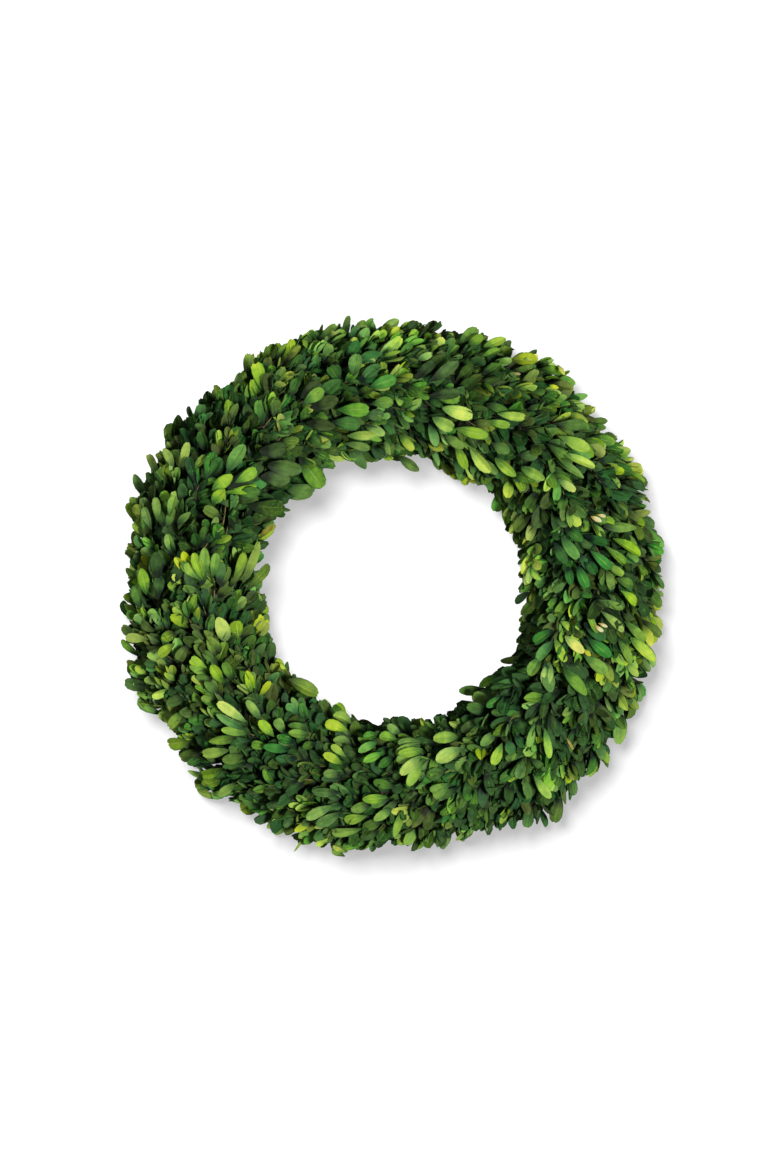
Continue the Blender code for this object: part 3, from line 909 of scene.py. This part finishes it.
def ramp(tree, factor, stops):
    item = tree.nodes.new("ShaderNodeValToRGB")
    feed(tree, item, {0: factor})
    for number, (spot, *colour) in enumerate(stops):
        stop = item.color_ramp.elements[number] if number < 2 else item.color_ramp.elements.new(spot)
        stop.position = spot
        stop.color = (*colour, 1.0)
    return item.outputs[0]


def noiseOf(tree, place, scale, detail):
    # Noise, stretched to run from 0 to 1
    noise = node(tree, "TexNoise", {"Vector": place, "Scale": scale, "Detail": detail})["Fac"]
    return ranged(tree, noise, 0.0, 1.0, 0.28, 0.72)


def attribute(tree, name):
    return node(tree, "Attribute", attribute_name=name)["Fac"]


def ownMap(tree):
    return node(tree, "UVMap", uv_map="UVMap")[0]


def startGroup(name, inputs, outputs):
    # A shader node group: its tree, its inputs' sockets, and the node that takes its outputs
    tree = bpy.data.node_groups.new(name, "ShaderNodeTree")
    for label, usual in inputs.items():
        kind = "NodeSocketFloat" if isinstance(usual, float) else "NodeSocketVector"
        tree.interface.new_socket(name=label, in_out="INPUT", socket_type=kind).default_value = usual
    for label in outputs:
        kind = "NodeSocketColor" if label == "Colour" else "NodeSocketFloat"
        tree.interface.new_socket(name=label, in_out="OUTPUT", socket_type=kind)
    return tree, tree.nodes.new("NodeGroupInput").outputs, tree.nodes.new("NodeGroupOutput")


def grainGroup():
    # Fine unevenness in space
    tree, given, result = startGroup("grain", {"Place": (0, 0, 0), "Scale": 300.0, "Detail": 3.0}, ("Grain",))
    feed(tree, result, {"Grain": noiseOf(tree, given["Place"], given["Scale"], given["Detail"])})
    return tree


def streaksGroup():
    # Streaks along a stalk: noise over its own map, drawn out lengthwise, another cut for each tone
    tree, given, result = startGroup(
        "streaks", {"Spot": (0, 0, 0), "Tone": 0.0, "Stretch": (40.0, 4.0, 1.0)}, ("Streak",))
    drawn = node(tree, "VectorMath", {0: given["Spot"], 1: given["Stretch"]}, operation="MULTIPLY")[0]
    moved = node(tree, "VectorMath", {0: drawn, 1: scaled(tree, given["Tone"], 37.0)}, operation="ADD")[0]
    feed(tree, result, {"Streak": noiseOf(tree, moved, 1.0, 3.0)})
    return tree


leafColours = {  # stops of tone with red, green and blue
    "green": (
        (0.00, 0.010, 0.018, 0.009), (0.20, 0.022, 0.060, 0.015), (0.45, 0.062, 0.154, 0.027),
        (0.68, 0.181, 0.322, 0.044), (0.88, 0.378, 0.478, 0.066), (1.00, 0.600, 0.580, 0.085)),
    "olive": (
        (0.00, 0.011, 0.013, 0.007), (0.45, 0.105, 0.150, 0.022), (0.75, 0.270, 0.350, 0.034),
        (1.00, 0.520, 0.510, 0.070)),
    "emerald": (
        (0.00, 0.006, 0.014, 0.010), (0.45, 0.029, 0.145, 0.028), (0.75, 0.084, 0.310, 0.050),
        (1.00, 0.200, 0.480, 0.080)),
    "dried": ((0.20, 0.060, 0.040, 0.012), (0.60, 0.330, 0.240, 0.060), (1.00, 0.620, 0.590, 0.380)),
    "pale": (0.36, 0.48, 0.12, 1.0),  # midrib, and rim: the rim's paleness partly the leaf's paler margin, partly a painted highlight
    "under": (0.17, 0.25, 0.08, 1.0),
    "underShare": 0.4,
    "saturation": (0.90, 1.11),  # from leaf to leaf
}

leafMarks = {
    "grain": (-0.07, 0.07),  # lighter by
    "streaks": (-0.06, 0.06),
    # darker at the stalk and at the rim: painted shade
    "paintedShadeStalkToTip": (-0.35, 0.06),
    "paintedRimShade": -0.20,
    "ribPale": 0.50,
    "rimPaleAndHighlight": 0.45,
    "fleckPale": 0.8,
}


def leafTintGroup():
    # Tone picks the place on four ramps, warmth mixes them: emerald, green, olive, and past 1 dried
    tree, given, result = startGroup("leafTint", {"Tone": 0.5, "Warmth": 0.0, "Pale": 0.0}, ("Colour",))
    tone = given["Tone"]
    colour = ramp(tree, tone, leafColours["green"])
    for name, start, end in (("olive", 0.0, 1.0), ("emerald", 0.0, -1.0), ("dried", 1.0, 2.0)):
        weight = ranged(tree, given["Warmth"], 0.0, 1.0, start, end)
        colour = mixed(tree, weight, colour, ramp(tree, tone, leafColours[name]))
    paleHere = times(tree, given["Pale"], ranged(tree, tone, 0.0, 1.0, 0.05, 0.5))
    feed(tree, result, {"Colour": mixed(tree, paleHere, colour, leafColours["pale"])})
    return tree


def leafMarksGroup():
    # Over a leaf's own map: lighter towards the tip and darker at the stalk and the rim as painted
    # shade, mottled; a pale midrib, a pale rim that is partly the leaf's margin and partly a painted
    # highlight, and flecks by chance; and a height of side veins, grain and the midrib's groove
    tree, given, result = startGroup(
        "leafMarks", {"Spot": (0, 0, 0), "Chance": 0.5, "Grain": 0.5, "Streak": 0.5, "Fleck": 0.0},
        ("Lightness", "Pale", "Height"))
    luck, parts = given["Chance"], node(tree, "SeparateXYZ", {0: given["Spot"]})
    along, offset = parts[1], maths(tree, "ABSOLUTE", maths(tree, "SUBTRACT", parts[0], 0.5))
    mottled = ranged(tree, given["Grain"], *leafMarks["grain"])
    mottled = plus(tree, mottled, ranged(tree, given["Streak"], *leafMarks["streaks"]))
    # Mottled, and darker at the rim as painted shade
    mottledAndRimShade = plus(tree, mottled, ranged(tree, offset, 0.0, leafMarks["paintedRimShade"], 0.41, 0.5))
    # Darker at the stalk, lighter to the tip: painted shade
    lightness = plus(tree, ranged(tree, along, *leafMarks["paintedShadeStalkToTip"], 0.06, 0.50), mottledAndRimShade)
    rib = times(tree, ranged(tree, offset, 1.0, 0.0, 0.012, 0.055), ranged(tree, along, 1.0, 0.0, 0.7, 1.0))
    ribPale = times(tree, rib, ranged(tree, luck, 0.0, leafMarks["ribPale"], 0.2, 1.0))
    # A pale rim by chance: partly the leaf's paler margin, partly a painted highlight
    rim = ranged(tree, offset, 0.0, 1.0, 0.42, 0.50)
    rimPaleAndHighlight = times(tree, rim, ranged(tree, luck, 0.0, leafMarks["rimPaleAndHighlight"], 0.5, 0.0))
    fleck = ranged(tree, given["Fleck"], 0.0, leafMarks["fleckPale"], 0.72, 0.95)
    fleckPale = times(tree, fleck, ranged(tree, luck, 0.0, 1.0, 0.8, 0.9))
    slant = maths(tree, "SUBTRACT", times(tree, along, 9.0), times(tree, offset, 5.0))
    vein = maths(tree, "ABSOLUTE", maths(tree, "SUBTRACT", maths(tree, "FRACT", slant), 0.5))
    relief = plus(tree, times(tree, vein, 0.3), times(tree, given["Grain"], 0.4))
    feed(tree, result, {
        "Lightness": lightness,
        "Pale": maths(tree, "MAXIMUM", maths(tree, "MAXIMUM", ribPale, rimPaleAndHighlight), fleckPale),
        "Height": maths(tree, "SUBTRACT", relief, times(tree, rib, 0.5)),
    })
    return tree


effects = {group.name: group for group in (grainGroup(), streaksGroup(), leafTintGroup(), leafMarksGroup())}


def effectOf(tree, name, inputs):
    # A group's node in a material, with that material's own values
    return node(tree, "Group", inputs, node_tree=effects[name])


def grainOf(tree, scale, detail=3.0):
    place = node(tree, "TexCoord")["Object"]
    return effectOf(tree, "grain", {"Place": place, "Scale": scale, "Detail": detail})["Grain"]


def streaksOf(tree, tone, stretch):
    return effectOf(tree, "streaks", {"Spot": ownMap(tree), "Tone": tone, "Stretch": stretch})["Streak"]


def bumpOf(tree, height, strength, distance):
    return node(tree, "Bump", {"Height": height, "Strength": strength, "Distance": distance})[0]


def startMaterial(name, specular, roughness=0.5):
    material = bpy.data.materials.new(name)
    material.use_nodes = True
    tree = material.node_tree
    shader = tree.nodes["Principled BSDF"]
    feed(tree, shader, {"Roughness": roughness, "Specular IOR Level": specular})
    return material, tree, shader


def leafMaterial(name, specular, gloss, underside):
    material, tree, shader = startMaterial(name, specular)
    grain, luck = grainOf(tree, 320.0), attribute(tree, "chance")
    marks = effectOf(tree, "leafMarks", {
        "Spot": ownMap(tree), "Chance": luck, "Grain": grain, "Fleck": grainOf(tree, 1500.0, 2.0),
        "Streak": streaksOf(tree, luck, (7.0, 1.6, 1.0))})
    # Lightness brings the painted shade at the stalk and the rim
    tone = plus(tree, attribute(tree, "tone"), marks["Lightness"])
    warmth = attribute(tree, "warmth")
    colour = effectOf(tree, "leafTint", {"Tone": tone, "Warmth": warmth, "Pale": marks["Pale"]})["Colour"]
    if underside:
        weight = ranged(tree, tone, 0.0, leafColours["underShare"], 0.1, 0.5)
        colour = mixed(tree, weight, colour, leafColours["under"])
    strength = ranged(tree, luck, *leafColours["saturation"])
    feed(tree, shader, {
        "Base Color": node(tree, "HueSaturation", {"Color": colour, "Saturation": strength})[0],
        "Roughness": ranged(tree, grain, *gloss), "Normal": bumpOf(tree, marks["Height"], 0.4, 0.0003)})
    return material


def barkMaterial(name, low, high, roughness):
    material, tree, shader = startMaterial(name, 0.25, roughness)
    streak = streaksOf(tree, attribute(tree, "tone"), (5.0, 9.0, 1.0))
    both = plus(tree, times(tree, streak, 0.6), times(tree, grainOf(tree, 500.0), 0.4))
    feed(tree, shader, {"Base Color": ramp(tree, both, (low, high)), "Normal": bumpOf(tree, both, 0.5, 0.0004)})
    return material


def paintedShadeStemsMaterial():
    # Near black: the stems inside with painted shade of the foliage's depths
    material, tree, shader = startMaterial("paintedShadeStems", 0.05, 0.9)
    grain = grainOf(tree, 300.0, 4.0)
    colour = ramp(tree, grain, ((0.1, 0.005, 0.007, 0.004), (0.9, 0.014, 0.017, 0.009)))
    feed(tree, shader, {"Base Color": colour, "Normal": bumpOf(tree, grain, 0.6, 0.0006)})
    return material


def strawMaterial():
    material, tree, shader = startMaterial("straw", 0.3, 0.6)
    tone = attribute(tree, "tone")
    streak = streaksOf(tree, tone, (40.0, 4.0, 1.0))
    colour = ramp(tree, tone, ((0.0, 0.16, 0.10, 0.035), (0.6, 0.46, 0.32, 0.13), (1.0, 0.64, 0.50, 0.25)))
    feed(tree, shader, {"Base Color": scaled(tree, colour, ranged(tree, streak, 0.68, 1.2)),
                        "Normal": bumpOf(tree, streak, 0.6, 0.0003)})
    return material


def wireMaterial():
    material, tree, shader = startMaterial("greenWire", 0.5, 0.4)
    wear = grainOf(tree, 900.0, 2.0)
    paint = ramp(tree, wear, ((0.30, 0.012, 0.045, 0.015), (0.80, 0.03, 0.09, 0.03), (0.97, 0.25, 0.25, 0.24)))
    feed(tree, shader, {"Base Color": paint, "Roughness": ranged(tree, wear, 0.35, 0.6, 0.3, 1.0)})
    return material


# The base ring and the wire

strawParts = [strawBody(), strawStrands(np.random.default_rng(wreath["seed"]))]
pieceFrom("strawRing", strawParts, [strawMaterial()], ["straw_ring"])
pieceFrom("bindingWire", [wireHelix()], [wireMaterial()], ["binding_wire"])
print("straw and wire made")


# The foliage, one piece for each bunch

foliageFinish = (
    leafMaterial("leafFace", 0.05, (0.48, 0.66), False),
    leafMaterial("leafUnderside", 0.03, (0.62, 0.78), True),
    barkMaterial("twigBark", (0.2, 0.07, 0.06, 0.016), (0.8, 0.21, 0.18, 0.05), 0.7),
    # Bark of the bare stems, darker than the twigs' as painted shade deep in the foliage
    barkMaterial("paintedShadeBark", (0.2, 0.010, 0.008, 0.004), (0.8, 0.045, 0.034, 0.014), 0.8),
    paintedShadeStemsMaterial(),
)
special = growStandouts()
leafCount = 0
for number in range(wreath["bunches"]):
    chance = np.random.default_rng((wreath["seed"], number))
    sprigs = growSprigs(chance, number)
    leaves = leavesOf(chance, sprigs)
    settle(chance, sprigs, leaves)
    free, mine, rim = ~crossing(leaves, special), special["bunch"] == number, growRimLeaves(chance, number)
    upper = {key: np.concatenate((leaves[key][free], special[key][mine], rim[key])) for key in rim}
    parts = [blades(chance, upper, blade["stations"], blade["columns"]),
             blades(chance, growLowLeaves(chance, number), blade["lowStations"], blade["lowColumns"]),
             twigs(sprigs), stemRods(chance, number), paintedShadeStems(number)]
    leafCount += len(upper["length"]) + lowLeaves["number"]
    pieceFrom(f"foliage_{number + 1:02d}", parts, foliageFinish, [f"boxwood_bunch_{number + 1:02d}"], 20)
print("foliage:", leafCount, "leaves")


# Camera, floor and light

view = {
    "metresPerPixel": 0.0005522,
    "pixels": (780, 1170),
    "ringPixel": (392, 588),  # the ring's centre in the picture
    "level": 0.022,  # the height at which that scale holds
    "distance": 2.6,
    "clipEnd": 20,
}

light = {
    "key": {"place": (1.06, -0.36, 2.33), "size": 0.55, "power": 94},
    "fill": {"place": (-1.70, 0.85, 0.60), "size": 1.0, "power": 20},
    "cast": {"place": (-0.52, 0.78, 2.3), "size": 1.2, "power": 90},  # lights the floor alone, for the shadow
    "sky": (0.22, 0.95),  # as the wreath sees it, and as the camera does
    "floorColour": (0.28, 0.50),
    "floorGlow": 0.44,
    "floorHalf": 8,
}


def addCamera():
    data = bpy.data.cameras.new("camera")
    data.sensor_fit = "VERTICAL"
    data.lens = data.sensor_height * view["distance"] / (view["metresPerPixel"] * view["pixels"][1])
    data.clip_end = view["clipEnd"]
    camera = addObject("camera", data)
    aside = (view["pixels"][0] / 2 - view["ringPixel"][0]) * view["metresPerPixel"]
    upward = (view["ringPixel"][1] - view["pixels"][1] / 2) * view["metresPerPixel"]
    camera.location = (aside, upward, view["level"] + view["distance"])
    bpy.context.scene.camera = camera


def addFloor():
    mesh, half = bpy.data.meshes.new("floor"), light["floorHalf"]
    corners = [(-half, -half, 0), (half, -half, 0), (half, half, 0), (-half, half, 0)]
    mesh.from_pydata(corners, [], [(0, 1, 2, 3)])
    material, tree, shader = startMaterial("floorWhite", 0.5, 0.9)
    seen = node(tree, "LightPath")["Is Camera Ray"]
    feed(tree, shader, {
        "Base Color": ranged(tree, seen, *light["floorColour"]), "Emission Color": (1, 1, 1, 1),
        "Emission Strength": times(tree, seen, light["floorGlow"])})
    mesh.materials.append(material)
    floor = addObject("floor", mesh)
    floor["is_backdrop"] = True
    return floor


def addLamp(name, lit):
    # A round soft lamp that looks at the wreath and lights only some objects
    data = bpy.data.lights.new(name, "AREA")
    data.shape = "DISK"
    data.size, data.energy = light[name]["size"], light[name]["power"]
    lamp, place = addObject(name, data), np.array(light[name]["place"])
    toward = -place / np.linalg.norm(place)
    lamp.location = place
    lamp.rotation_euler = (np.arccos(-toward[2]), 0, np.arctan2(toward[1], toward[0]) - np.pi / 2)
    receivers = bpy.data.collections.new(name + "Lights")
    for thing in lit:
        receivers.objects.link(thing)
    lamp.light_linking.receiver_collection = receivers


def addSky():
    world = bpy.data.worlds.new("studio")
    world.use_nodes = True
    tree = world.node_tree
    strength = ranged(tree, node(tree, "LightPath")["Is Camera Ray"], *light["sky"])
    feed(tree, tree.nodes["Background"], {0: (1, 1, 1, 1), 1: strength})
    bpy.context.scene.world = world


addCamera()
floor = addFloor()
addLamp("key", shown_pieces())
addLamp("fill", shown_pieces())
addLamp("cast", [floor])
addSky()
bpy.context.scene.view_settings.view_transform = "Standard"
print("camera, floor and light set")
